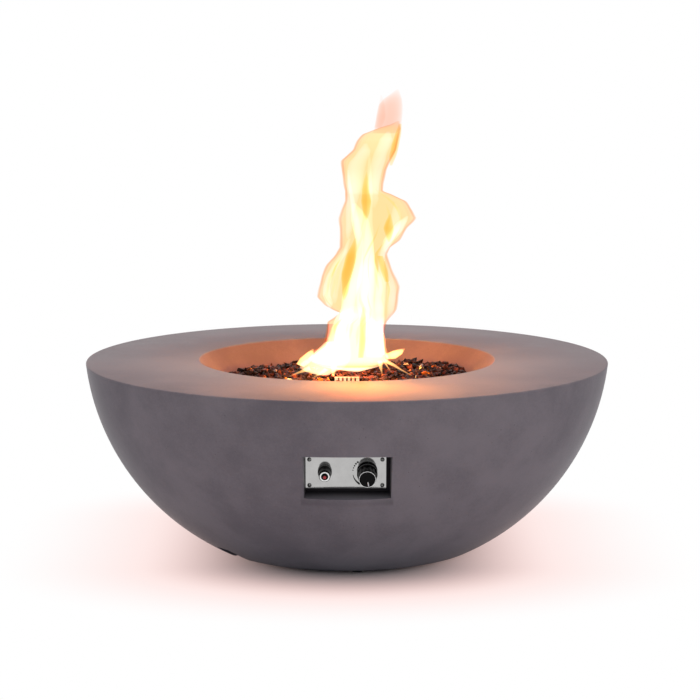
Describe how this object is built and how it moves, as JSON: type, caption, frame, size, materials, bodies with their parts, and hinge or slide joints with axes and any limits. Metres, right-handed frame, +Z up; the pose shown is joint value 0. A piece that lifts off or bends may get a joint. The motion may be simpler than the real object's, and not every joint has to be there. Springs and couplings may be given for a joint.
{
  "type": "gas fire pit",
  "caption": "Round cast-concrete fire bowl with a ring burner in a drop-in pan of crushed stone, a gas valve with knob and a push-button igniter in a recessed panel.",
  "frame": {"origin": "on the ground under the middle of the bowl", "axes": "+Z up, -Y out of the control panel, +X to the right as a person facing the panel sees it"},
  "size_m": [1.0664, 1.0664, 0.387],
  "materials": {
    "concrete": "cast concrete, matt, fine grain with small air holes",
    "rubber": "black rubber, matt",
    "plate_steel": "polished stainless steel",
    "screw_steel": "plain stainless steel",
    "brass": "machined brass",
    "cast_alloy": "die-cast alloy",
    "black_plastic": "black moulded plastic",
    "bright_ring": "bright plated ring",
    "white_mark": "white inlay",
    "red_mark": "red spot",
    "cell_steel": "plain battery sleeve",
    "burner_steel": "stainless steel, heat-tinted",
    "pan_steel": "stainless sheet, dulled by heat",
    "hood_steel": "stainless sheet",
    "bracket_steel": "black coated sheet",
    "hose_rubber": "black gas hose",
    "lead_cover": "silicone sleeving",
    "copper_line": "copper capillary",
    "white_ceramic": "glazed ceramic",
    "bush": "heat-proof bush",
    "lava": "crushed dark stone, glossy broken faces"
  },
  "bodies": {
    "bowl": {"bowl_shell": "concrete", "foot_pads": "rubber", "control_plate": "plate_steel", "plate_screws": "screw_steel", "plate_inserts": "brass", "gas_valve": "cast_alloy", "valve_nut": "brass", "magnet_unit": "brass", "igniter_barrel": "black_plastic", "igniter_nut": "black_plastic", "burner_pan": "pan_steel", "ring_burner": "burner_steel", "burner_supports": "burner_steel", "burner_locknuts": "brass", "air_mixer": "cast_alloy", "gas_jet": "brass", "gas_inlet": "brass", "inlet_backnut": "brass", "inlet_bracket": "bracket_steel", "bracket_screws": "screw_steel", "hose_nuts": "brass", "burner_hose": "hose_rubber", "inlet_hose": "hose_rubber", "ignition_hood": "hood_steel", "hood_screws": "screw_steel", "probe_bracket": "hood_steel", "probe_grommets": "bush", "electrode_ceramic": "white_ceramic", "electrode_wire": "screw_steel", "flame_sensor": "copper_line", "sensor_lead": "copper_line", "sensor_nut": "brass", "igniter_lead": "lead_cover", "rock_fill": "lava", "lava_rock": "lava"},
    "valve_plug": {"valve_plug": "brass"},
    "knob": {"valve_stem": "screw_steel", "knob": "black_plastic", "knob_ring": "bright_ring", "knob_pointer": "white_mark", "knob_spring": "screw_steel"},
    "battery": {"battery": "cell_steel"},
    "igniter_cap": {"igniter_cap": "black_plastic", "igniter_bezel": "bright_ring"},
    "button": {"igniter_button": "black_plastic", "red_dot": "red_mark", "button_spring": "screw_steel"},
    "air_shutter": {"air_shutter": "burner_steel"}
  },
  "joints": [
    {"name": "knob_turn", "type": "hinge", "parent": "bowl", "child": "valve_plug", "pos_m": [0.0375, -0.445, 0.239], "axis": [0, -0.9848, -0.1736], "range_deg": [-190, 0]},
    {"name": "knob_push", "type": "slide", "parent": "valve_plug", "child": "knob", "axis": [0, 0.9848, 0.1736], "range_m": [0, 0.004], "stiffness_N_per_m": 1200, "springref_m": -0.003, "deforming": ["knob_spring"]},
    {"name": "battery_out", "type": "slide", "parent": "bowl", "child": "battery", "axis": [0, -0.9848, -0.1736], "range_m": [0, 0.008]},
    {"name": "cap_unscrew", "type": "hinge", "parent": "battery", "child": "igniter_cap", "pos_m": [-0.041, -0.44526, 0.24048], "axis": [0, -0.9848, -0.1736], "range_deg": [0, 1921]},
    {"name": "igniter_press", "type": "slide", "parent": "igniter_cap", "child": "button", "axis": [0, 0.9848, 0.1736], "range_m": [0, 0.003], "stiffness_N_per_m": 800, "springref_m": -0.002, "deforming": ["button_spring"]},
    {"name": "shutter_turn", "type": "hinge", "parent": "bowl", "child": "air_shutter", "pos_m": [0, 0, 0.24], "axis": [0, 0, 1], "range_deg": [0, 90]}
  ],
  "couplings": [
    {"joint": "cap_unscrew", "follows": "battery_out", "rad_per_m": 4188.8}
  ]
}
